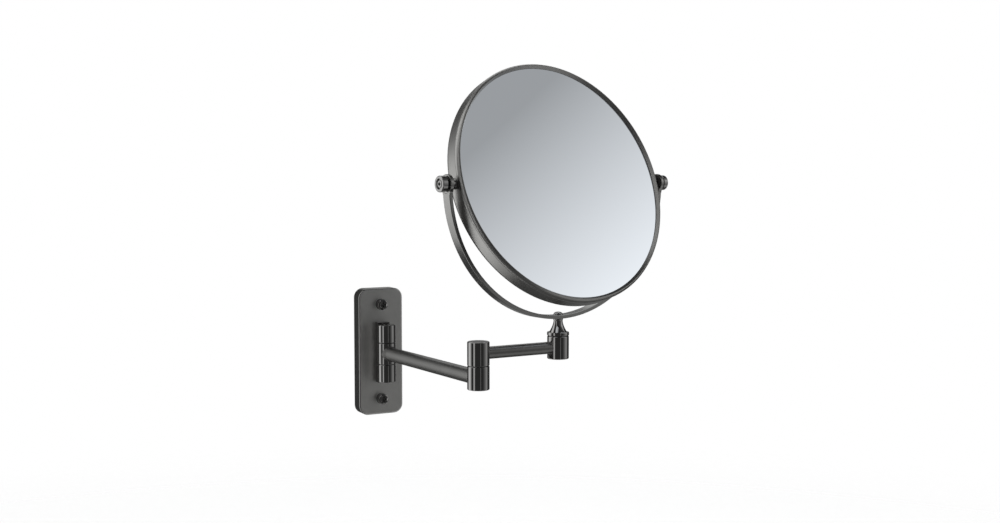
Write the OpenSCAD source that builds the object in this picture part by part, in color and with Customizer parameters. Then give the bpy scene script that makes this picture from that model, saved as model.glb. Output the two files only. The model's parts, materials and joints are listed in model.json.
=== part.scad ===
// Extendable shaving mirror: wall plate, two hinged arms, swivelling yoke, tilting double-sided mirror.
// The origin is the middle of the wall plate's back, on the wall.
// +X is right when facing the wall, +Y runs into the wall and +Z is up. Sizes are in millimetres.

/* [Wall plate] */
// Width of the wall plate
plate_w = 42.5; // [40:0.5:60]
// Height of the wall plate
plate_h = 116; // [112:1:150]
// Depth of the wall plate, gasket included
plate_t = 14; // [13:0.5:18]
// Corner radius of the wall plate
plate_corner_r = 8.5; // [6:0.5:12]
// Rounding of the wall plate's front edge
plate_edge_r = 1.2; // [0.5:0.1:3]
// Wall thickness of the hollow wall plate
plate_wall = 2.6; // [2:0.1:4]
// Distance between the two wall screws
screw_pitch = 87; // [80:1:92]
// Diameter of a wall screw's head
screw_head_d = 9.6; // [8:0.2:11]
// Height of a wall screw's head
screw_head_h = 6.6; // [4:0.2:8]
// Length of wall screw that stands out behind the plate
screw_reach = 36; // [25:1:50]

/* [Hinge barrels] */
// Diameter of the wall hinge's three barrels
hinge_barrel_d = 16; // [15:0.5:17]
// Diameter of the barrels at the elbow and under the yoke
barrel_d = 18; // [17:0.5:20]
// Height of every hinge barrel that an arm is fixed to
barrel_h = 19; // [18:0.5:24]
// Height of each of the bracket's two knuckles
knuckle_h = 16; // [12:0.5:20]
// Gap between two barrels, filled by a bush flange
barrel_gap = 0.5; // [0.4:0.05:1]
// Distance from the plate's front to the wall hinge's axis
hinge_out = 13.5; // [13:0.5:20]
// Diameter of the hinge pins
pin_d = 6; // [5:0.5:7]

/* [Arms] */
// Length of the main arm, axis to axis
main_arm_l = 165; // [150:1:220]
// Diameter of the main arm
main_arm_d = 12.5; // [10:0.5:13]
// Length of the fore arm, axis to axis
fore_arm_l = 76; // [60:1:140]
// Diameter of the fore arm
fore_arm_d = 10; // [8:0.5:11]

/* [Yoke] */
// Inside radius of the yoke's strap
yoke_r = 108.5; // [107:0.5:110]
// Thickness of the yoke's strap
strap_t = 3.1; // [2:0.1:3.5]
// Width of the yoke's strap
strap_w = 9.2; // [7:0.2:10]
// Radius of the eye at each end of the strap
eye_r = 7.6; // [7:0.1:9]
// Height of the swivel post's trumpet, from its collar to the strap
post_h = 11.1; // [11:0.1:20]

/* [Mirror] */
// Outside radius of the mirror's frame
frame_r = 103.3; // [100:0.1:103.5]
// Depth of the mirror's frame, front to rear
frame_depth = 17.8; // [16.6:0.2:20]
// Thickness of each glass
glass_t = 3; // [2.4:0.2:3]
// Diameter of a pivot knob
knob_d = 12.9; // [11.4:0.1:14]

/* [Pose] */
// Turn of the main arm from straight out of the wall
main_arm_turn = 3.6; // [-60:0.1:60]
// Turn of the fore arm from straight out of the wall
fore_arm_turn = 93; // [60:1:120]
// Turn of the mirror head from facing straight out
head_turn = 8.7; // [-45:0.1:45]
// Backward tilt of the mirror
mirror_tilt = 20.2; // [-45:0.1:45]

/* [Hidden] */
$fn = 96;

METAL = "dimgray";
DARK_METAL = [0.13, 0.13, 0.13];
NYLON = [0.08, 0.08, 0.08];
STEEL = "silver";
GLASS = "lightsteelblue";
RUBBER = [0.2, 0.2, 0.2];

eps = 0.01;                                  // overlap that joins two shapes into one
slip = 0.05;                                 // clearance between parts that turn on each other
barrel_r = barrel_d / 2;
hinge_r = hinge_barrel_d / 2;
pin_r = pin_d / 2;
bush_r = pin_r + 1.2;                        // outside of a nylon bush's sleeve
bush_bore_r = pin_r + slip;                  // bore that runs on a pin
flange_inset = 0.4;                          // bush flange inside the barrel's outside
bush_flange_t = barrel_gap - slip;
barrel_edge_r = 0.6;                         // rounding of a barrel's outer edges

// Wall plate
gasket_t = 1;
gasket_inset = 0.8;
plate_front = -plate_t;                      // Y of the plate's front face
hinge_y = plate_front - hinge_out;           // Y of the wall hinge's axis
screw_z = screw_pitch / 2;
screw_shank_r = 2.6;
screw_thread_r = 2.1;
screw_tip_l = 4;
screw_hole_r = 2.9;
screw_boss_r = 6;
washer_t = 1;
washer_r = screw_head_d / 2 + 0.2;
recess_w = 1.3;                              // width of a cross recess's slots
recess_deep = 2;

// Hinge bracket
collar_l = 1.6;                              // brazed fillet at the root of the main arm
collar_over = 0.7;
neck_w = 11;
// hollow in the neck that clears the middle barrel and the main arm's root
neck_relief_r = max(hinge_r + 0.6, norm([neck_w / 2, main_arm_d / 2 + collar_over]) + 0.3);
neck_over = 1.5;                             // how far the neck stands above and below the knuckles
knuckle_z = barrel_h / 2 + barrel_gap;       // Z of the inner face of a knuckle
knuckle_top = knuckle_z + knuckle_h;
bracket_screw_z = 18;
bracket_screw_r = 2;
bracket_screw_l = 9;
bracket_hole_r = 2.2;

// Elbow
tube_wall = 1.5;
upper_z = barrel_h / 2 + barrel_gap;         // Z of the underside of the fore arm's barrels
upper_top = upper_z + barrel_h;
fore_axis_z = upper_z + barrel_h / 2;
elbow_pin_foot = -6;                         // Z of the foot of the elbow pin in its blind bore
nut_room_r = 7;                              // counterbore that holds a lock nut
nut_room_h = 7;
nut_r = 4.2;
nut_h = 3.4;
thread_r = 2.4;
spring_washer_r = 6;
spring_washer_t = 0.9;
spring_washer_cone = 0.5;                    // how far the spring washer is dished
cap_dome_h = 0.9;
plug_h = 1.6;

// Swivel post
post_collar_r = barrel_r + 0.15;
post_foot = upper_top + barrel_gap;          // Z of the underside of the post's collar
post_collar_h = 2.8;
post_neck_r = 3.75;
post_flare = 3.64;                           // how much wider the trumpet is at its foot
post_flare_h = 9.5;
post_flare_power = 1.7;
post_lip_r = 4.1;
strap_low = post_foot + post_collar_h + post_h;   // Z of the underside of the strap at the post
pivot_z = strap_low + strap_t + yoke_r;      // Z of the pivot that the mirror tilts about
stud_r = 2.5;

// Yoke
fillet_r = 6;                                // blend between the strap and its eye
strap_edge_r = 0.5;
eye_bush_r = pin_r + 1.6;
eye_bush_flange_r = 6;
eye_bush_flange_t = 0.6;
cap_nut_r = 3.8;
cap_nut_h = 2.6;

// Mirror
half_depth = frame_depth / 2;
band_wall = 1.4;
band_in_r = frame_r - band_wall;
curve_l = 4;                                 // depth over which the outside curves in at each edge
curve_in = 2;                                // how far it curves in
curve_r = (pow(curve_l, 2) + pow(curve_in, 2)) / (2 * curve_in);
straight_h = half_depth - curve_l;           // the outside is straight up to this height
seam_h = 4.6;                                // height of the seam between the band and the bezel
seam_gap = 0.1;
seam_edge = 0.12;
edge_round = 0.15;                           // rounding of the frame's thin front and rear edges
edge_wall = 0.5;                             // width of those edges
glass_show_r = frame_r - 4.1;                // radius of the glass that shows
skirt_in_r = band_in_r - 0.8;                // inside of the bezel's skirt, round the front glass
skirt_low = 0.5;
glass_inset = 2.9;                           // glass surface behind the frame's front edge
glass_front = half_depth - glass_inset;
glass_bevel = 0.3;
glass_edge = glass_front - 0.3;              // foot of the glass's bevel, held by the bezel
undercut_r = glass_show_r + 0.4;             // narrow gap between the glass and the bezel's wall
undercut_h = 0.3;
rear_lip_t = 2.6;
rear_glass_r = band_in_r - 0.5;
rear_glass_t = 1.6;
magnify_r = 900;                             // radius of curvature of the concave glass
pad_r = 80;                                  // foam pad between the two glasses
boss_r = 3.8;
boss_flange_r = 4.4;
boss_flange_t = 1;
boss_rivet_r = 2;                            // the boss's tail, riveted through the band
boss_top = yoke_r - eye_bush_flange_t - 0.3;
knob_r = knob_d / 2;
knob_l = 4.9;
knob_gap = 0.35;                             // gap between the strap's eye and the knob's neck
knob_neck_r = 5;
knob_neck_l = 1.15;
knob_neck_foot = yoke_r + strap_t + knob_gap;
knob_reach = knob_neck_foot + knob_neck_l + knob_l;   // middle of the mirror to a knob's outer end
knob_dish_r = 4.3;
knob_dish_deep = 1.5;
pivot_head_r = 3.1;
pivot_head_h = 1.2;

// Points of a quarter circle about (x, y), turning left from the angle start
function arc(x, y, r, start, steps = 6) =
    [for (i = [0:steps]) let (a = start + 90 * i / steps) [x + r * cos(a), y + r * sin(a)]];

// ---- frames of the moving parts ----

module at_hinge() {
    translate([0, hinge_y, 0]) rotate([0, 0, main_arm_turn]) children();
}

module at_elbow() {
    at_hinge() translate([0, -main_arm_l, 0]) rotate([0, 0, fore_arm_turn - main_arm_turn]) children();
}

module at_end() {
    at_elbow() translate([0, -fore_arm_l, 0]) rotate([0, 0, head_turn - fore_arm_turn]) children();
}

module at_pivot() {
    at_end() translate([0, 0, pivot_z]) children();
}

module at_mirror() {
    at_pivot() rotate([-mirror_tilt, 0, 0]) children();
}

// Lays a shape that is drawn along +Z so that it points out of the wall, along -Y
module facing_out() {
    rotate([90, 0, 0]) children();
}

// Draws its children at each wall screw
module at_screws() {
    for (side = [-1, 1])
        translate([0, 0, side * screw_z]) children();
}

// Lays a shape that is drawn along +Z along the pivot axis, once to the left and once to the right
module both_sides() {
    for (side = [0, 1])
        mirror([side, 0, 0]) rotate([0, 90, 0]) children();
}

// ---- shapes used more than once ----

module rounded_rect(w, h, r) {
    square([w - 2 * r, h], center = true);
    square([w, h - 2 * r], center = true);
    for (x = [-1, 1], y = [-1, 1])
        translate([x * (w / 2 - r), y * (h / 2 - r)]) circle(r);
}

// Section of a slab of half width a and thickness t with a rounded front edge
function slab_half(a, t, e) = concat([[0, 0], [a, 0]], arc(a - e, t - e, e, 0), [[0, t]]);

function slab_whole(a, t, e) = concat([[-a, 0], [a, 0]], arc(a - e, t - e, e, 0),
    arc(e - a, t - e, e, 90));

// Rounded plate standing up from z = 0, its top edge rounded
module pillow(w, h, t, r, e) {
    flat_w = w - 2 * r;
    flat_h = h - 2 * r;
    translate([-flat_w / 2, 0, 0]) rotate([90, 0, 90])
        linear_extrude(flat_w) polygon(slab_whole(h / 2, t, e));
    translate([0, flat_h / 2, 0]) rotate([90, 0, 0])
        linear_extrude(flat_h) polygon(slab_whole(w / 2, t, e));
    for (x = [-1, 1], y = [-1, 1])
        translate([x * flat_w / 2, y * flat_h / 2, 0])
            rotate_extrude() polygon(slab_half(r, t, e));
}

// Solid barrel from z = 0 to h with rounded outer edges
module barrel(r, h, e = barrel_edge_r) {
    rotate_extrude()
        polygon(concat([[0, 0]], arc(r - e, e, e, -90), arc(r - e, h - e, e, 0), [[0, h]]));
}

module ring(r_out, r_in, h) {
    rotate_extrude() translate([r_in, 0]) square([r_out - r_in, h]);
}

// Bush with a flange from z = 0 down and a sleeve up, for a barrel of radius r
module flanged_bush(r, length) {
    rotate_extrude() {
        translate([bush_bore_r, -bush_flange_t])
            square([r - flange_inset - bush_bore_r, bush_flange_t]);
        translate([bush_bore_r, -bush_flange_t]) square([bush_r - bush_bore_r, length + bush_flange_t]);
    }
}

// Dished spring washer, its rim down at z = 0
module spring_washer() {
    bore_r = pin_r + 0.2;
    rotate_extrude()
        polygon([[spring_washer_r, 0], [spring_washer_r, spring_washer_t],
            [bore_r, spring_washer_cone + spring_washer_t], [bore_r, spring_washer_cone]]);
}

// Hexagon nut from z = 0 up
module lock_nut() {
    difference() {
        cylinder(r = nut_r, h = nut_h, $fn = 6);
        translate([0, 0, -eps]) cylinder(r = thread_r, h = nut_h + 2 * eps);
    }
}

// Pin with a thinner threaded end
module threaded_pin(foot, shoulder, top) {
    translate([0, 0, foot]) cylinder(r = pin_r, h = shoulder - foot);
    translate([0, 0, shoulder - eps]) cylinder(r = thread_r, h = top - shoulder + eps);
}

// Two crossed slots that a screwdriver fits, cut down from z = 0
module cross_recess(reach) {
    for (a = [0, 90])
        rotate([0, 0, a]) translate([-reach, -recess_w / 2, -recess_deep])
            cube([2 * reach, recess_w, recess_deep + eps]);
    translate([0, 0, -recess_deep - 0.4]) cylinder(r1 = 0.2, r2 = recess_w, h = recess_deep);
}

// Tube along -Y from the origin, coped to fit a barrel of radius near_r there and one at its far end
module coped_tube(r, length, near_r) {
    difference() {
        facing_out() ring(r, r - tube_wall, length);
        translate([0, 0, -2 * r]) cylinder(r = near_r, h = 4 * r);
        translate([0, -length, -2 * r]) cylinder(r = barrel_r, h = 4 * r);
    }
}

// ---- wall plate and its bracket ----

module wall_gasket() {
    color(RUBBER) facing_out() linear_extrude(gasket_t) difference() {
        rounded_rect(plate_w - 2 * gasket_inset, plate_h - 2 * gasket_inset,
            plate_corner_r - gasket_inset);
        for (side = [-1, 1])
            translate([0, side * screw_z]) circle(screw_hole_r);
    }
}

module wall_plate() {
    casting_t = plate_t - gasket_t;
    room_t = casting_t - plate_wall;
    room_r = plate_corner_r - plate_wall;
    color(METAL) translate([0, -gasket_t, 0]) facing_out() difference() {
        union() {
            difference() {
                pillow(plate_w, plate_h, casting_t, plate_corner_r, plate_edge_r);
                translate([0, 0, -eps])
                    pillow(plate_w - 2 * plate_wall, plate_h - 2 * plate_wall, room_t + eps,
                        room_r, 1);
            }
            for (side = [-1, 1])
                translate([0, side * screw_z, 0]) cylinder(r = screw_boss_r, h = room_t + eps);
        }
        for (side = [-1, 1]) {
            translate([0, side * screw_z, -eps])
                cylinder(r = screw_hole_r, h = casting_t + 2 * eps);
            translate([0, side * screw_z, casting_t - washer_t])
                cylinder(r = washer_r, h = washer_t + eps);
            translate([0, side * bracket_screw_z, room_t - eps])
                cylinder(r = bracket_hole_r, h = plate_wall + 2 * eps);
        }
    }
}

module hinge_bracket() {
    neck_h = 2 * (knuckle_top + neck_over);
    color(DARK_METAL) difference() {
        union() {
            translate([-neck_w / 2, hinge_y, -neck_h / 2]) cube([neck_w, hinge_out, neck_h]);
            translate([0, hinge_y, knuckle_z]) barrel(hinge_r, knuckle_h);
            translate([0, hinge_y, -knuckle_top]) barrel(hinge_r, knuckle_h);
        }
        // the neck ends behind the pin above and below the knuckles
        for (side = [-1, 1])
            translate([0, hinge_y, side * (knuckle_top + neck_over)])
                cube([2 * neck_w, hinge_out, 2 * neck_over], center = true);
        translate([0, hinge_y, -knuckle_z]) cylinder(r = neck_relief_r, h = 2 * knuckle_z);
        translate([0, hinge_y, -knuckle_top - eps])
            cylinder(r = pin_r, h = 2 * knuckle_top + 2 * eps);
        for (side = [-1, 1])
            translate([0, plate_front + eps, side * bracket_screw_z]) facing_out()
                cylinder(r = bracket_screw_r, h = bracket_screw_l);
    }
}

module bracket_screws() {
    head_h = 2.4;
    head_r = 3.6;
    seat_y = plate_front + plate_wall;
    color(STEEL) for (side = [-1, 1])
        translate([0, seat_y, side * bracket_screw_z]) {
            facing_out() translate([0, 0, -eps])
                cylinder(r = bracket_screw_r, h = plate_wall + bracket_screw_l - 1);
            rotate([-90, 0, 0]) difference() {
                rotate_extrude()
                    polygon(concat([[0, 0], [head_r, 0]], arc(head_r - 1, head_h - 1, 1, 0),
                        [[0, head_h]]));
                translate([0, 0, head_h]) cross_recess(head_r * 0.6);
            }
        }
}

module hinge_pin() {
    sunk = 0.3;
    color(DARK_METAL) translate([0, hinge_y, sunk - knuckle_top])
        barrel(pin_r, 2 * (knuckle_top - sunk), 0.4);
}

module screw_washers() {
    color(NYLON) at_screws() translate([0, plate_front + washer_t, 0]) facing_out()
        ring(washer_r, screw_shank_r + 0.1, washer_t);
}

module wall_screws() {
    e = 1.3;
    r = screw_head_d / 2;
    dish_r = 3.5;
    dish_deep = 0.5;
    color(DARK_METAL) at_screws() {
        translate([0, plate_front, 0]) facing_out() difference() {
            rotate_extrude()
                polygon(concat([[0, 0], [r, 0]], arc(r - e, screw_head_h - e, e, 0),
                    [[dish_r, screw_head_h], [dish_r - dish_deep, screw_head_h - dish_deep],
                    [0, screw_head_h - dish_deep]]));
            translate([0, 0, screw_head_h - dish_deep]) cross_recess(2.4);
        }
        translate([0, plate_front - eps, 0]) rotate([-90, 0, 0])
            cylinder(r = screw_shank_r, h = plate_t + eps);
        rotate([-90, 0, 0]) cylinder(r = screw_thread_r, h = screw_reach - screw_tip_l);
        translate([0, screw_reach - screw_tip_l - eps, 0]) rotate([-90, 0, 0])
            cylinder(r1 = screw_thread_r, r2 = 0.3, h = screw_tip_l);
    }
}

// ---- main arm ----

module main_arm_hinge_barrel() {
    color(DARK_METAL) at_hinge() difference() {
        translate([0, 0, -barrel_h / 2]) barrel(hinge_r, barrel_h, 0.4);
        translate([0, 0, -barrel_h]) cylinder(r = bush_r, h = 2 * barrel_h);
    }
}

module hinge_bushes() {
    sleeve = barrel_h / 2 - 1.5;
    color(NYLON) at_hinge() for (side = [0, 1])
        mirror([0, 0, side]) translate([0, 0, -barrel_h / 2]) flanged_bush(hinge_r, sleeve);
}

module main_arm_tube() {
    r = main_arm_d / 2;
    color(METAL) at_hinge() {
        coped_tube(r, main_arm_l, hinge_r);
        // brazed fillet at the arm's root
        difference() {
            facing_out() rotate_extrude()
                polygon([[r - eps, 0], [r + collar_over, 0], [r + collar_over, hinge_r + collar_l / 2],
                    [r - eps, hinge_r + collar_l]]);
            cylinder(r = hinge_r, h = 4 * r, center = true);
        }
    }
}

module main_arm_elbow_barrel() {
    color(DARK_METAL) at_elbow() difference() {
        translate([0, 0, -barrel_h / 2]) barrel(barrel_r, barrel_h);
        translate([0, 0, elbow_pin_foot]) cylinder(r = pin_r, h = barrel_h);
    }
}

module elbow_pin() {
    nut_floor = upper_top - nut_room_h;
    color(STEEL) at_elbow() threaded_pin(elbow_pin_foot, nut_floor, nut_floor + 5.2);
}

module elbow_spring_washer() {
    color(STEEL) at_elbow() translate([0, 0, upper_top - nut_room_h + slip]) spring_washer();
}

module elbow_lock_nut() {
    washer_top = upper_top - nut_room_h + slip + spring_washer_cone + spring_washer_t;
    color(STEEL) at_elbow() translate([0, 0, washer_top]) lock_nut();
}

// ---- fore arm ----

module fore_arm_elbow_barrel() {
    color(DARK_METAL) at_elbow() difference() {
        translate([0, 0, upper_z]) barrel(barrel_r, barrel_h, 0.4);
        translate([0, 0, upper_z - 1]) cylinder(r = bush_r, h = barrel_h);
        translate([0, 0, upper_top - nut_room_h]) cylinder(r = nut_room_r, h = nut_room_h + 1);
    }
}

module elbow_bush() {
    color(NYLON) at_elbow() translate([0, 0, upper_z])
        flanged_bush(barrel_r, barrel_h - nut_room_h - slip);
}

module elbow_cap() {
    // the cap's top is a shallow dome inside a narrow rounded rim
    rim_h = 0.25;
    dome_r = barrel_r - 0.7;
    steps = 8;
    dome = [for (i = [0:steps]) let (t = i / steps)
        [dome_r * (1 - t), cap_dome_h - (cap_dome_h - rim_h) * pow(1 - t, 2)]];
    color(DARK_METAL) at_elbow() translate([0, 0, upper_top]) {
        rotate_extrude()
            polygon(concat([[0, 0], [barrel_r - 0.3, 0], [barrel_r - 0.4, rim_h / 2]], dome));
        translate([0, 0, -plug_h]) cylinder(r = nut_room_r, h = plug_h + eps);
    }
}

module fore_arm_tube() {
    color(METAL) at_elbow() translate([0, 0, fore_axis_z])
        coped_tube(fore_arm_d / 2, fore_arm_l, barrel_r);
}

module fore_arm_end_barrel() {
    color(DARK_METAL) at_end() difference() {
        translate([0, 0, upper_z]) barrel(barrel_r, barrel_h, 0.7);
        translate([0, 0, upper_z + 1]) cylinder(r = bush_r, h = barrel_h);
        translate([0, 0, upper_z - 1]) cylinder(r = nut_room_r, h = nut_room_h + 1);
    }
}

module swivel_bush() {
    color(NYLON) at_end() translate([0, 0, upper_top]) mirror([0, 0, 1])
        flanged_bush(barrel_r, barrel_h - nut_room_h - slip);
}

module end_barrel_plug() {
    color(DARK_METAL) at_end() translate([0, 0, upper_z + 0.2]) cylinder(r = nut_room_r, h = plug_h);
}

// ---- yoke ----

// The post's outline from its collar up: a trumpet that ends in a small lip under the strap
module swivel_post() {
    foot = post_foot + post_collar_h;
    neck_top = foot + post_flare_h;
    steps = 14;
    trumpet = [for (i = [0:steps]) let (t = 1 - i / steps)
        [post_neck_r + post_flare * pow(t, post_flare_power), neck_top - t * post_flare_h]];
    stem_foot = upper_z + nut_room_h;
    color(DARK_METAL) at_end() {
        rotate_extrude()
            polygon(concat([[0, post_foot]],
                arc(post_collar_r - 0.4, post_foot + 0.4, 0.4, -90, 3),
                arc(post_collar_r - 0.5, foot - 0.5, 0.5, 0, 3),
                trumpet,
                [[post_lip_r, strap_low - 0.6], [post_lip_r, strap_low], [0, strap_low]]));
        translate([0, 0, stem_foot]) cylinder(r = pin_r, h = post_foot - stem_foot + eps);
        translate([0, 0, stem_foot - 4.8]) cylinder(r = thread_r, h = 4.8 + eps);
        translate([0, 0, strap_low - eps])
            cylinder(r = stud_r, h = strap_t + cap_nut_h / 2);
    }
}

module swivel_spring_washer() {
    color(STEEL) at_end() translate([0, 0, upper_z + nut_room_h - slip]) mirror([0, 0, 1])
        spring_washer();
}

module swivel_lock_nut() {
    washer_low = upper_z + nut_room_h - slip - spring_washer_cone - spring_washer_t;
    color(STEEL) at_end() translate([0, 0, washer_low - nut_h]) lock_nut();
}

// Full hoop about the pivot axis' middle, in the plane of the strap
module hoop(half_w, e) {
    outer = yoke_r + strap_t;
    facing_out() rotate_extrude($fn = 180)
        polygon(concat(arc(outer - e, half_w - e, e, 0, 3), arc(yoke_r + e, half_w - e, e, 90, 3),
            arc(yoke_r + e, e - half_w, e, 180, 3), arc(outer - e, e - half_w, e, 270, 3)));
}

module yoke_strap() {
    blend_y = strap_w / 2 + fillet_r;
    blend_z = sqrt(pow(eye_r + fillet_r, 2) - pow(blend_y, 2));
    joint = eye_r / (eye_r + fillet_r);
    outer = yoke_r + strap_t;
    color(METAL) at_pivot() difference() {
        union() {
            // the half hoop
            difference() {
                hoop(strap_w / 2, strap_edge_r);
                translate([-2 * outer, -eye_r, -blend_z]) cube([4 * outer, 2 * eye_r, 2 * outer]);
            }
            // the blend from the hoop's width to its eyes
            intersection() {
                hoop(blend_y, strap_edge_r);
                translate([-2 * outer, 0, 0]) rotate([90, 0, 90]) linear_extrude(4 * outer)
                    difference() {
                        polygon([[0, 0], [blend_y * joint, -blend_z * joint],
                            [blend_y, -blend_z - eps], [-blend_y, -blend_z - eps],
                            [-blend_y * joint, -blend_z * joint]]);
                        for (side = [-1, 1])
                            translate([side * blend_y, -blend_z]) circle(fillet_r);
                    }
            }
            // the eyes
            both_sides() translate([0, 0, yoke_r]) barrel(eye_r, strap_t, strap_edge_r);
        }
        rotate([0, 90, 0]) cylinder(r = eye_bush_r, h = 4 * outer, center = true);
        translate([0, 0, -outer - 5]) cylinder(r = stud_r, h = 20);
        // flat seat for the cap nut
        translate([0, 0, -yoke_r]) cylinder(r = cap_nut_r + slip, h = strap_t);
    }
}

module yoke_cap_nut() {
    steps = 6;
    dome = [for (i = [0:steps]) let (a = 90 * i / steps)
        [cap_nut_r * cos(a), cap_nut_h * (0.25 + 0.75 * sin(a))]];
    color(DARK_METAL) at_pivot() translate([0, 0, -yoke_r]) difference() {
        rotate_extrude() polygon(concat([[0, 0], [cap_nut_r, 0]], dome));
        translate([0, 0, -eps]) cylinder(r = stud_r, h = cap_nut_h / 2 + 2 * eps);
    }
}

module eye_bushes() {
    color(NYLON) at_pivot() both_sides() translate([0, 0, yoke_r]) rotate_extrude() {
        translate([bush_bore_r, 0]) square([eye_bush_r - bush_bore_r, strap_t]);
        translate([bush_bore_r, -eye_bush_flange_t])
            square([eye_bush_flange_r - bush_bore_r, eye_bush_flange_t]);
    }
}

// ---- mirror head ----

// Turns an outline of [radius, height towards the front] into a ring about the mirror's normal
module mirror_ring(points) {
    at_mirror() facing_out() rotate_extrude($fn = 180) polygon(points);
}

// Outside radius of the frame at height h
function rim_r(h) =
    frame_r - curve_r + sqrt(pow(curve_r, 2) - pow(max(0, abs(h) - straight_h), 2));

// The outside's outline between two heights
function rim(from, to, steps) =
    [for (i = [0:steps]) let (h = from + (to - from) * i / steps) [rim_r(h), h]];

module frame_band() {
    rear = -half_depth;
    top = seam_h - seam_gap / 2;
    edge_r = rim_r(half_depth);
    color(METAL) difference() {
        mirror_ring(concat(
            [[rim_r(top) - seam_edge, top], [band_in_r, top], [band_in_r, rear + rear_lip_t],
            [glass_show_r, rear + rear_lip_t], [edge_r - edge_wall, rear + edge_round],
            [edge_r - edge_wall + edge_round, rear], [edge_r - edge_round, rear]],
            rim(rear + edge_round, -straight_h, 10),
            [[rim_r(top - seam_edge), top - seam_edge]]));
        at_mirror() rotate([0, 90, 0]) cylinder(r = boss_rivet_r, h = 3 * frame_r, center = true);
    }
}

module front_bezel() {
    foot = seam_h + seam_gap / 2;
    edge_r = rim_r(half_depth);
    color(METAL) mirror_ring(concat(
        rim(foot + seam_edge, half_depth - edge_round, 9),
        [[edge_r - edge_round, half_depth], [edge_r - edge_wall + edge_round, half_depth],
        [edge_r - edge_wall, half_depth - edge_round],
        [glass_show_r, glass_front + undercut_h], [undercut_r, glass_front + undercut_h],
        [undercut_r, glass_edge], [skirt_in_r, glass_edge],
        [skirt_in_r, skirt_low], [band_in_r, skirt_low],
        [band_in_r, foot], [rim_r(foot) - seam_edge, foot]]));
}

module front_glass() {
    color(GLASS) mirror_ring([[0, glass_front - glass_t], [skirt_in_r, glass_front - glass_t],
        [skirt_in_r, glass_edge], [glass_show_r + glass_bevel, glass_edge],
        [glass_show_r, glass_front], [0, glass_front]]);
}

// Height of the concave glass's dished face at radius r: its rim rests on the band's rear lip
function bowl_height(r) =
    rear_lip_t - half_depth + sqrt(pow(magnify_r, 2) - r * r)
    - sqrt(pow(magnify_r, 2) - pow(rear_glass_r, 2));

function bowl_points(r_max, lift, steps = 16) =
    [for (i = [0:steps]) let (r = r_max * i / steps) [r, bowl_height(r) + lift]];

function reversed(points) = [for (i = [len(points) - 1:-1:0]) points[i]];

module rear_glass() {
    color(GLASS) mirror_ring(concat(bowl_points(rear_glass_r, rear_glass_t),
        reversed(bowl_points(rear_glass_r, 0))));
}

module glass_pad() {
    color(RUBBER) mirror_ring(concat(bowl_points(pad_r, rear_glass_t),
        [[pad_r, glass_front - glass_t], [0, glass_front - glass_t]]));
}

// Turned bosses that stand on the band and carry the pivot screws
module pivot_bosses() {
    flange_top = frame_r + boss_flange_t;
    color(DARK_METAL) at_mirror() both_sides() difference() {
        rotate_extrude()
            polygon([[0, band_in_r], [boss_rivet_r, band_in_r], [boss_rivet_r, frame_r],
                [boss_flange_r, frame_r], [boss_flange_r, flange_top], [boss_r, flange_top + 0.8],
                [boss_r, boss_top - 0.4], [boss_r - 0.4, boss_top], [0, boss_top]]);
        translate([0, 0, flange_top]) cylinder(r = stud_r, h = yoke_r - frame_r);
    }
}

module pivot_screws() {
    seat = knob_reach - knob_dish_deep;
    color(STEEL) at_mirror() both_sides() {
        translate([0, 0, frame_r + boss_flange_t])
            cylinder(r = stud_r, h = boss_top - frame_r - boss_flange_t + eps);
        translate([0, 0, boss_top]) cylinder(r = pin_r, h = seat - boss_top + eps);
        translate([0, 0, seat]) difference() {
            rotate_extrude()
                polygon(concat([[0, 0], [pivot_head_r, 0]],
                    arc(pivot_head_r - 0.8, pivot_head_h - 0.8, 0.8, 0), [[0, pivot_head_h]]));
            translate([0, 0, pivot_head_h]) rotate([0, 0, 20]) cross_recess(1.7);
        }
    }
}

module pivot_knobs() {
    e = 0.9;
    foot = knob_reach - knob_l;
    color(DARK_METAL) at_mirror() both_sides() rotate_extrude()
        polygon(concat([[pin_r, knob_neck_foot], [knob_neck_r, knob_neck_foot], [knob_neck_r, foot],
            [knob_r - 0.5, foot], [knob_r, foot + 0.5]],
            arc(knob_r - e, knob_reach - e, e, 0),
            [[knob_dish_r, knob_reach], [knob_dish_r - 0.6, knob_reach - knob_dish_deep],
            [pin_r, knob_reach - knob_dish_deep]]));
}

wall_gasket();
wall_plate();
hinge_bracket();
bracket_screws();
hinge_pin();
wall_screws();
screw_washers();
main_arm_hinge_barrel();
hinge_bushes();
main_arm_tube();
main_arm_elbow_barrel();
elbow_pin();
elbow_spring_washer();
elbow_lock_nut();
fore_arm_elbow_barrel();
elbow_bush();
elbow_cap();
fore_arm_tube();
fore_arm_end_barrel();
swivel_bush();
end_barrel_plug();
swivel_post();
swivel_spring_washer();
swivel_lock_nut();
yoke_strap();
yoke_cap_nut();
eye_bushes();
frame_band();
front_bezel();
front_glass();
rear_glass();
glass_pad();
pivot_bosses();
pivot_screws();
pivot_knobs();
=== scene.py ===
"""The looks of the extendable shaving mirror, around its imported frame. Lengths are in metres."""

import json
import math

import bpy
from mathutils import Euler, Matrix, Vector

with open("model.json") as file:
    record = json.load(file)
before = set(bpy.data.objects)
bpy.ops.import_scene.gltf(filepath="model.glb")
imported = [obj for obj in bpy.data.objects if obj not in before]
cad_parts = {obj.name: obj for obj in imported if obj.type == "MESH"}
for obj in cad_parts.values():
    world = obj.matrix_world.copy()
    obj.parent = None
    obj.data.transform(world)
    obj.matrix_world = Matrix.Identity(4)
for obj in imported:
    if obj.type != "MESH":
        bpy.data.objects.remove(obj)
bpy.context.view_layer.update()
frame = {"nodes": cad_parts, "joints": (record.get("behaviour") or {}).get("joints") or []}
scene = bpy.context.scene
nodes = frame["nodes"]
joints = {joint["name"]: joint for joint in frame["joints"]}

TILT = math.radians(20.2)                      # backward tilt of the mirror at rest
BOWL_BEHIND = 0.9007                           # from the pivots back to the rear glass's curve centre

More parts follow.
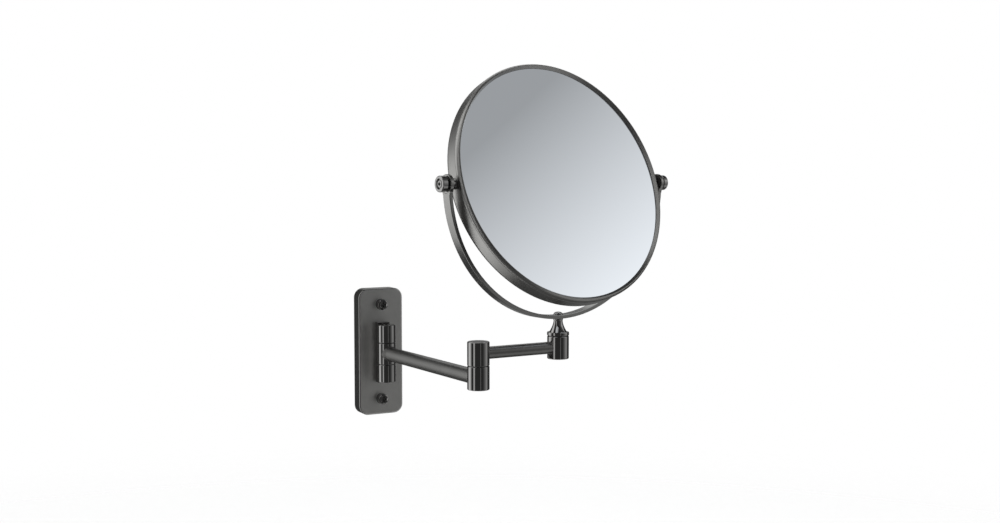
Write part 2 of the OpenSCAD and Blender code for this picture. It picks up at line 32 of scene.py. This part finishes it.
# The mirror head's own axes: X along the pivots, Y to its rear, Z up in the plane of the glass
pivot = Vector(joints["mirror_tilt"]["pos_m"])
pivot_axis = Vector(joints["mirror_tilt"]["axis"]).normalized()
head_turn = math.atan2(pivot_axis.y, pivot_axis.x)
YOKE_TURN = Euler((0, 0, head_turn))
HEAD_TURN = (Matrix.Rotation(head_turn, 3, "Z") @ Matrix.Rotation(-TILT, 3, "X")).to_euler()
bowl_centre = pivot + HEAD_TURN.to_matrix() @ Vector((0, BOWL_BEHIND, 0))


# ---- shader graphs ----

class Graph:
    """Short calls for the shader nodes that the materials and the studio are made of."""

    def __init__(self, tree):
        self.tree = tree

    def node(self, kind, **settings):
        """A new shader node with the given settings."""
        made = self.tree.nodes.new(kind)
        for key, value in settings.items():
            setattr(made, key, value)
        return made

    def put(self, socket, value):
        """Links value to the socket if it is a socket itself, and sets it otherwise."""
        if isinstance(value, bpy.types.NodeSocket):
            self.tree.links.new(value, socket)
        else:
            socket.default_value = value

    def math(self, operation, a, b=0.0, c=0.0):
        """The result of a Math node on up to three values."""
        made = self.node("ShaderNodeMath", operation=operation)
        for socket, value in zip(made.inputs, (a, b, c)):
            self.put(socket, value)
        return made.outputs[0]

    def between(self, value, low, high, to_low=0.0, to_high=1.0, smooth=True):
        """value from low to high becomes to_low to to_high, and stays there outside that range."""
        made = self.node("ShaderNodeMapRange", interpolation_type="SMOOTHSTEP" if smooth else "LINEAR")
        for name, number in (("Value", value), ("From Min", low), ("From Max", high),
                             ("To Min", to_low), ("To Max", to_high)):
            self.put(made.inputs[name], number)
        return made.outputs["Result"]

    def length(self, a, b):
        """The square root of a squared plus b squared."""
        squares = [self.math("MULTIPLY", part, part) for part in (a, b)]
        return self.math("SQRT", self.math("ADD", *squares))

    def mix(self, factor, a, b):
        """Colour a where factor is 0 and colour b where it is 1."""
        made = self.node("ShaderNodeMix", data_type="RGBA")
        for index, value in ((0, factor), (6, a), (7, b)):
            self.put(made.inputs[index], value)
        return made.outputs[2]

    def noise(self, vector, scale, detail=3.0, roughness=0.5):
        """Soft random values around 0.5."""
        made = self.node("ShaderNodeTexNoise")
        for name, value in (("Vector", vector), ("Scale", scale), ("Detail", detail),
                            ("Roughness", roughness)):
            self.put(made.inputs[name], value)
        return made.outputs["Fac"]

    def combine(self, x, y, z):
        """A vector from its three parts."""
        made = self.node("ShaderNodeCombineXYZ")
        for socket, value in zip(made.inputs, (x, y, z)):
            self.put(socket, value)
        return made.outputs[0]

    def separate(self, vector):
        """The three parts of a vector, also by the names X, Y and Z."""
        made = self.node("ShaderNodeSeparateXYZ")
        self.put(made.inputs[0], vector)
        return made.outputs

    def place(self):
        """Where a point of the mesh is in the row frame at rest."""
        return self.node("ShaderNodeTexCoord").outputs["Object"]

    def local(self, origin, turn):
        """The same place, seen from axes at origin that are turned by the Euler angles turn."""
        made = self.node("ShaderNodeMapping", vector_type="TEXTURE")
        self.put(made.inputs["Vector"], self.place())
        made.inputs["Location"].default_value = origin
        made.inputs["Rotation"].default_value = turn
        return made.outputs[0]

    def round_brushing(self, vector, axis, fine):
        """Noise in thin lines that run round one of vector's axes, 0 for X, 1 for Y and 2 for Z."""
        parts = self.separate(vector)
        across = [parts[i] for i in range(3) if i != axis]
        radius = self.length(*across)
        around = [self.math("DIVIDE", part, radius) for part in across]
        line = self.math("MULTIPLY", self.math("ADD", radius, parts[axis]), fine)
        return self.noise(self.combine(*around, line), 1.6, 4.0, 0.65)

    def long_brushing(self, vector, axis, fine):
        """Noise in thin lines that run along one of vector's axes."""
        stretch = [fine] * 3
        stretch[axis] = fine * 0.015
        made = self.node("ShaderNodeMapping")
        self.put(made.inputs["Vector"], vector)
        made.inputs["Scale"].default_value = stretch
        return self.noise(made.outputs[0], 1.0, 4.0, 0.65)

    def bump(self, height, strength, depth):
        """The normal of a surface that height raises by up to depth."""
        made = self.node("ShaderNodeBump")
        for name, value in (("Height", height), ("Strength", strength), ("Distance", depth)):
            self.put(made.inputs[name], value)
        return made.outputs["Normal"]


def new_material(name):
    """A material, its graph and its shader."""
    material = bpy.data.materials.new(name)
    material.use_nodes = True
    shader = material.node_tree.nodes["Principled BSDF"]
    return material, Graph(material.node_tree), shader


def shaded(colour, factor):
    """The colour made lighter or darker, with an alpha of 1."""
    return [part * factor for part in colour] + [1]


# ---- materials ----

def metal(name, colour, roughness, brushing=None, brush_depth=0.0, cloud=0.04, fleck=0.0,
          sides_with_painted_shade=None):
    """Plated metal: brushing(graph) gives its lines, cloud shades the plating softly, and the last
    argument, where given, is the colour and roughness of the faces that don't face along Y; that
    colour is painted shade."""
    material, graph, shader = new_material(name)
    place = graph.place()
    clouds = graph.noise(place, 45.0, 3.0, 0.55)
    dark = shaded(colour, 1 - cloud)
    light = shaded(colour, 1 + cloud)
    shade = graph.mix(graph.between(clouds, 0.3, 0.7), dark, light)
    shader.inputs["Metallic"].default_value = 1.0
    low, high = roughness
    wipe = graph.noise(place, 260.0, 5.0, 0.6)
    if brushing:
        lines = brushing(graph)
        wipe = graph.math("ADD", graph.math("MULTIPLY", wipe, 0.5), graph.math("MULTIPLY", lines, 0.5))
        graph.put(shader.inputs["Normal"], graph.bump(lines, brush_depth, 0.0004))
    elif fleck:
        grain = graph.noise(place, 5200.0, 2.0, 0.5)
        graph.put(shader.inputs["Normal"], graph.bump(grain, fleck, 0.0002))
    rough = graph.between(wipe, 0.3, 0.7, low, high, False)
    if sides_with_painted_shade:
        painted_side_shade, side_rough = sides_with_painted_shade
        normal = graph.separate(graph.node("ShaderNodeTexCoord").outputs["Normal"])
        front = graph.between(graph.math("ABSOLUTE", normal["Y"]), 0.75, 0.97)
        # Painted shade: the faces that don't face along Y take the darker side colour; their roughness
        # is their own
        shade = graph.mix(front, shaded(painted_side_shade, 1), shade)
        rough = graph.between(front, 0.0, 1.0, side_rough, rough, False)
    graph.put(shader.inputs["Base Color"], shade)
    graph.put(shader.inputs["Roughness"], rough)
    return material


def bowl_normal(graph, centre):
    """The exact normal of a dished face whose points all lie equally far from centre."""
    towards = graph.node("ShaderNodeVectorMath", operation="SUBTRACT")
    towards.inputs[0].default_value = centre
    graph.put(towards.inputs[1], graph.place())
    length_one = graph.node("ShaderNodeVectorMath", operation="NORMALIZE")
    graph.put(length_one.inputs[0], towards.outputs[0])
    turned = graph.node("ShaderNodeVectorTransform", vector_type="NORMAL",
                        convert_from="OBJECT", convert_to="WORLD")
    graph.put(turned.inputs[0], length_one.outputs[0])
    return turned.outputs[0]


def mirror_glass(name, tint, centre=None):
    """Silvered glass: the silver is under a clear coat that stands for the glass's own surface.
    A dished glass has the centre of its curve, for a smooth mirror image."""
    material, graph, shader = new_material(name)
    dust = graph.noise(graph.place(), 900.0, 6.0, 0.7)
    haze = graph.noise(graph.place(), 18.0, 3.0, 0.5)
    spots = graph.math("MULTIPLY", graph.between(dust, 0.62, 0.75), graph.between(haze, 0.45, 0.65))
    shader.inputs["Base Color"].default_value = tint
    shader.inputs["Metallic"].default_value = 1.0
    graph.put(shader.inputs["Roughness"], graph.between(spots, 0.0, 1.0, 0.004, 0.05, False))
    shader.inputs["Coat Weight"].default_value = 0.5
    shader.inputs["Coat Roughness"].default_value = 0.0
    if centre:
        for socket in ("Normal", "Coat Normal"):
            graph.put(shader.inputs[socket], bowl_normal(graph, centre))
    return material


def plastic(name, colour, roughness, grain_scale, grain):
    """Moulded plastic or rubber with a fine grain."""
    material, graph, shader = new_material(name)
    place = graph.place()
    mottle = graph.noise(place, 120.0, 3.0, 0.5)
    graph.put(shader.inputs["Base Color"], graph.mix(mottle, shaded(colour, 0.8), shaded(colour, 1.2)))
    rough = graph.between(mottle, 0.3, 0.7, roughness - 0.08, roughness + 0.08, False)
    graph.put(shader.inputs["Roughness"], rough)
    grains = graph.noise(place, grain_scale, 2.0, 0.5)
    graph.put(shader.inputs["Normal"], graph.bump(grains, grain, 0.0002))
    return material


# Colours of the platings, the silver and the dark parts
PLATE_METAL = (0.84, 0.83, 0.805)
# Gunmetal is the frame's own colour, and also the painted shade on the wall plate's sides
GUNMETAL_AND_SIDE_SHADE = (0.37, 0.365, 0.355)
ARM_METAL = (0.215, 0.212, 0.206)
STRAP_METAL = (0.28, 0.276, 0.268)
BLACK_NICKEL = (0.30, 0.295, 0.29)
ZINC = (0.62, 0.62, 0.63)
SILVER = (0.865, 0.90, 0.95, 1)
NYLON = (0.03, 0.03, 0.031)
RUBBER = (0.02, 0.02, 0.02)

# Lowest and highest roughness of each finish
SATIN = (0.32, 0.38)
STRAP_SATIN = (0.16, 0.22)
POLISHED = (0.04, 0.07)
GALVANISED = (0.22, 0.34)
PLATE_SIDE_ROUGH = 0.12

# Strength and fineness of the brushed and the turned lines
SATIN_LINES = 0.004
LATHE_LINES = 0.006
LONG_FINE = 5200.0
HOOP_FINE = 6000.0
LATHE_FINE = 4000.0

hinge = Vector(joints["wall_hinge"]["pos_m"])
elbow = Vector(joints["elbow"]["pos_m"])
swivel = Vector(joints["head_swivel"]["pos_m"])


def lathe_lines(centre):
    """Turned lines round the upright axis through centre."""
    return lambda graph: graph.round_brushing(graph.local(centre, Euler()), 2, LATHE_FINE)


def drawn_lines(start, end):
    """Lines along an arm's tube from start to end."""
    turn = Euler((0, 0, math.atan2(end.y - start.y, end.x - start.x)))
    return lambda graph: graph.long_brushing(graph.local(start, turn), 0, LONG_FINE)


def hoop_lines(turn):
    """Lines round a hoop about the pivots, whose axes are turned by turn."""
    return lambda graph: graph.round_brushing(graph.local(pivot, turn), 1, HOOP_FINE)


def upright_lines(graph):
    """Lines that run up the wall plate."""
    return graph.long_brushing(graph.place(), 2, LONG_FINE)


polished = metal("polished_gunmetal", BLACK_NICKEL, POLISHED, fleck=0.01)
polished_hinge = metal("polished_hinge", BLACK_NICKEL, POLISHED, lathe_lines(hinge), LATHE_LINES)
polished_elbow = metal("polished_elbow", BLACK_NICKEL, POLISHED, lathe_lines(elbow), LATHE_LINES)
polished_swivel = metal("polished_swivel", BLACK_NICKEL, POLISHED, lathe_lines(swivel), LATHE_LINES)
# The wall plate's sides wear gunmetal as painted shade, darker than its front
satin_plate = metal("satin_plate", PLATE_METAL, SATIN, upright_lines, SATIN_LINES,
                    sides_with_painted_shade=(GUNMETAL_AND_SIDE_SHADE, PLATE_SIDE_ROUGH))
satin_main_arm = metal("satin_main_arm", ARM_METAL, SATIN, drawn_lines(hinge, elbow), SATIN_LINES)
satin_fore_arm = metal("satin_fore_arm", ARM_METAL, SATIN, drawn_lines(elbow, swivel), SATIN_LINES)
satin_strap = metal("satin_strap", STRAP_METAL, STRAP_SATIN, hoop_lines(YOKE_TURN), SATIN_LINES)
satin_frame = metal("satin_frame", GUNMETAL_AND_SIDE_SHADE, SATIN, hoop_lines(HEAD_TURN), SATIN_LINES)
zinc = metal("zinc_steel", ZINC, GALVANISED, fleck=0.05)
silvered = mirror_glass("mirror_glass", SILVER)
silvered_bowl = mirror_glass("magnifying_glass", SILVER, bowl_centre)
nylon = plastic("black_nylon", NYLON, 0.45, 2500.0, 0.1)
foam = plastic("black_rubber", RUBBER, 0.8, 1500.0, 0.5)

# Which CAD nodes wear which material
LOOKS = {
    satin_plate: ["wall_plate"],
    satin_main_arm: ["main_arm_tube"],
    satin_fore_arm: ["fore_arm_tube"],
    satin_strap: ["yoke_strap"],
    satin_frame: ["frame_band", "front_bezel"],
    polished: ["wall_screws", "pivot_bosses", "pivot_screws", "pivot_knobs"],
    polished_hinge: ["hinge_bracket", "hinge_pin", "main_arm_hinge_barrel"],
    polished_elbow: ["main_arm_elbow_barrel", "fore_arm_elbow_barrel", "elbow_cap"],
    polished_swivel: ["fore_arm_end_barrel", "end_barrel_plug", "swivel_post", "yoke_cap_nut"],
    silvered: ["front_glass"],
    silvered_bowl: ["rear_glass"],
    nylon: ["hinge_bushes", "elbow_bush", "swivel_bush", "eye_bushes", "screw_washers"],
    zinc: ["bracket_screws", "elbow_pin", "elbow_spring_washer", "elbow_lock_nut",
           "swivel_spring_washer", "swivel_lock_nut"],
    foam: ["wall_gasket", "glass_pad"],
}
for material, names in LOOKS.items():
    for name in names:
        mesh = nodes[name].data
        mesh.materials.clear()
        mesh.materials.append(material)


# ---- the studio ----

def softbox(graph, azimuth, elevation, box):
    """How bright the studio is in a direction because of one softbox with soft edges."""
    az, el, half_width, half_height, edge, level = box
    aside = graph.math("WRAP", graph.math("SUBTRACT", azimuth, az), 180.0, -180.0)
    aside = graph.math("ABSOLUTE", aside)
    above = graph.math("ABSOLUTE", graph.math("SUBTRACT", elevation, el))
    wide = graph.between(aside, half_width, half_width + edge, 1.0, 0.0)
    high = graph.between(above, half_height, half_height + edge, 1.0, 0.0)
    return graph.math("MULTIPLY", graph.math("MULTIPLY", wide, high), level)


# Azimuth from straight out of the wall towards +X and elevation of a softbox's middle, its half
# width and half height, the width of its soft edge, all in degrees, and its brightness
SOFTBOXES = {
    "strip_left": (-71, 20, 6, 45, 4, 0.95),
    "over_left": (-118, 54, 22, 10, 14, 1.0),
    "thread_front": (-3, 10, 1, 40, 3, 0.4),
    "back_right": (150, -5, 12, 25, 14, 0.24),
    "high_right": (157, 40, 17, 12, 7, 1.0),
    "floor_front": (50, -42, 30, 13, 12, 0.5),
}
STUDIO_DARK = 0.06                             # where no lamp is
STUDIO_FLOOR = 0.12                            # low down, where the floor is
FLOOR_FADE = (-20.0, -50.0)                    # elevations between which one becomes the other
STUDIO_TINT = (0.99, 1.0, 1.0, 1)

# The key light. A fade has its two angles in degrees, then the brightness at each of them
KEY_LEFT, KEY_RIGHT = 0.0, 68.0
KEY_END = (67.0, 89.0, 0.7, 0.0)
KEY_UPWARD = (-35.0, 25.0, 0.1, 2.1)
KEY_TOP = (38.0, 46.0, 0.37, 0.15)
KEY_LEVEL = 1.75                               # its limit straight ahead, at eye level
KEY_PER_AZIMUTH = 0.01356                      # how the limit grows per degree to the right
KEY_PER_ELEVATION = 0.0634                     # how it falls per degree upwards

# The window: the middle azimuths of its glow and its pane, whose fades count degrees from there
GLOW_AZIMUTH, PANE_AZIMUTH = -129.0, -137.0
GLOW_FADE = (2.0, 36.0, 1.48, 0.0)
PANE_FADE = (10.0, 16.0, 1.1, 0.0)
WINDOW_END = (-155.0, -147.0, 0.0, 1.0)
WINDOW_BOTTOM = (-95.0, -40.0, 0.0, 1.0)
WINDOW_TOP = (60.0, 80.0, 1.0, 0.0)


def key_light(graph, azimuth, elevation):
    """The large softbox at the right front, brightest at its right end and fading upwards."""
    across = graph.math("POWER", graph.between(azimuth, KEY_LEFT, KEY_RIGHT, 0.0, 1.0, False), 2.0)
    across = graph.math("MULTIPLY", across, graph.between(azimuth, *KEY_END, False))
    across = graph.math("MULTIPLY", across, graph.between(elevation, *KEY_UPWARD, False))
    limit = graph.math("ADD", graph.math("MULTIPLY", azimuth, KEY_PER_AZIMUTH), KEY_LEVEL)
    limit = graph.math("SUBTRACT", limit, graph.math("MULTIPLY", elevation, KEY_PER_ELEVATION))
    limit = graph.math("MAXIMUM", limit, graph.between(elevation, *KEY_TOP))
    return graph.math("MINIMUM", across, limit)


def window_light(graph, azimuth, elevation):
    """The tall window at the left behind, which ends sharply towards the wall."""
    light = [graph.between(graph.math("ABSOLUTE", graph.math("SUBTRACT", azimuth, middle)), *fade)
             for middle, fade in ((GLOW_AZIMUTH, GLOW_FADE), (PANE_AZIMUTH, PANE_FADE))]
    light = graph.math("MAXIMUM", *light)
    light = graph.math("MULTIPLY", light, graph.between(azimuth, *WINDOW_END))
    light = graph.math("MULTIPLY", light, graph.between(elevation, *WINDOW_BOTTOM, False))
    return graph.math("MULTIPLY", light, graph.between(elevation, *WINDOW_TOP))


def studio():
    """White for the camera; for everything else a dark studio with softboxes and a pale floor."""
    world = bpy.data.worlds.new("studio")
    scene.world = world
    world.use_nodes = True
    world.node_tree.nodes.clear()
    graph = Graph(world.node_tree)
    direction = graph.separate(graph.node("ShaderNodeTexCoord").outputs["Generated"])
    backward = graph.math("MULTIPLY", direction["Y"], -1.0)
    azimuth = graph.math("DEGREES", graph.math("ARCTAN2", direction["X"], backward))
    elevation = graph.math("DEGREES", graph.math("ARCSINE", direction["Z"]))
    light = graph.between(elevation, *FLOOR_FADE, STUDIO_DARK, STUDIO_FLOOR)
    for lamp in (key_light, window_light):
        light = graph.math("MAXIMUM", light, lamp(graph, azimuth, elevation))
    for box in SOFTBOXES.values():
        light = graph.math("MAXIMUM", light, softbox(graph, azimuth, elevation, box))
    lit = graph.node("ShaderNodeBackground")
    lit.inputs["Color"].default_value = STUDIO_TINT
    graph.put(lit.inputs["Strength"], light)
    white = graph.node("ShaderNodeBackground")
    white.inputs["Color"].default_value = (1, 1, 1, 1)
    join = graph.node("ShaderNodeMixShader")
    graph.put(join.inputs[0], graph.node("ShaderNodeLightPath").outputs["Is Camera Ray"])
    graph.put(join.inputs[1], lit.outputs[0])
    graph.put(join.inputs[2], white.outputs[0])
    graph.put(graph.node("ShaderNodeOutputWorld").inputs["Surface"], join.outputs[0])


FLOOR_Z = -0.75
FLOOR_RADIUS = 3.2
FLOOR_SIDES = 96
FLOOR_GLOW = 0.55
LAMP_PLACE = (0, -0.4, 2.2)
LAMP_SIZE = 2.5
LAMP_POWER = 40
CAMERA_PLACE = (-0.4493, -1.1068, 0.1633)
CAMERA_DOWN = 3.917                            # degrees below level
CAMERA_RIGHT = 27.65                           # degrees from straight at the wall
SENSOR_WIDTH = 36
LENS = 46.44


def floor():
    """A pale round floor that fades into the white of the studio."""
    mesh = bpy.data.meshes.new("floor")
    angles = [2 * math.pi * side / FLOOR_SIDES for side in range(FLOOR_SIDES)]
    ring = [(FLOOR_RADIUS * math.cos(angle), FLOOR_RADIUS * math.sin(angle), 0) for angle in angles]
    mesh.from_pydata(ring, [], [range(FLOOR_SIDES)])
    made = bpy.data.objects.new("floor", mesh)
    made.location = (0, 0, FLOOR_Z)
    scene.collection.objects.link(made)
    material, graph, shader = new_material("pale_floor")
    shader.inputs["Base Color"].default_value = (0.9, 0.9, 0.9, 1)
    shader.inputs["Roughness"].default_value = 0.7
    shader.inputs["Emission Color"].default_value = (1, 1, 1, 1)
    shader.inputs["Emission Strength"].default_value = FLOOR_GLOW
    parts = graph.separate(graph.place())
    radius = graph.length(parts["X"], parts["Y"])
    fade = graph.between(radius, FLOOR_RADIUS * 0.5, FLOOR_RADIUS, 1.0, 0.0)
    graph.put(shader.inputs["Alpha"], fade)
    mesh.materials.append(material)
    made.visible_glossy = False


def overhead_lamp():
    """A broad lamp over the floor; the metals don't mirror it."""
    lamp = bpy.data.lights.new("overhead", "AREA")
    lamp.shape = "DISK"
    lamp.size = LAMP_SIZE
    lamp.energy = LAMP_POWER
    made = bpy.data.objects.new("overhead", lamp)
    made.location = LAMP_PLACE
    made.visible_glossy = False
    scene.collection.objects.link(made)


def camera():
    """The camera, a little above the mirror's middle and to its left."""
    view = bpy.data.cameras.new("camera")
    view.sensor_width = SENSOR_WIDTH
    view.lens = LENS
    made = bpy.data.objects.new("camera", view)
    made.location = CAMERA_PLACE
    made.rotation_euler = (math.radians(90 - CAMERA_DOWN), 0, math.radians(-CAMERA_RIGHT))
    scene.collection.objects.link(made)
    scene.camera = made


studio()
floor()
overhead_lamp()
camera()
scene.view_settings.view_transform = "Standard"
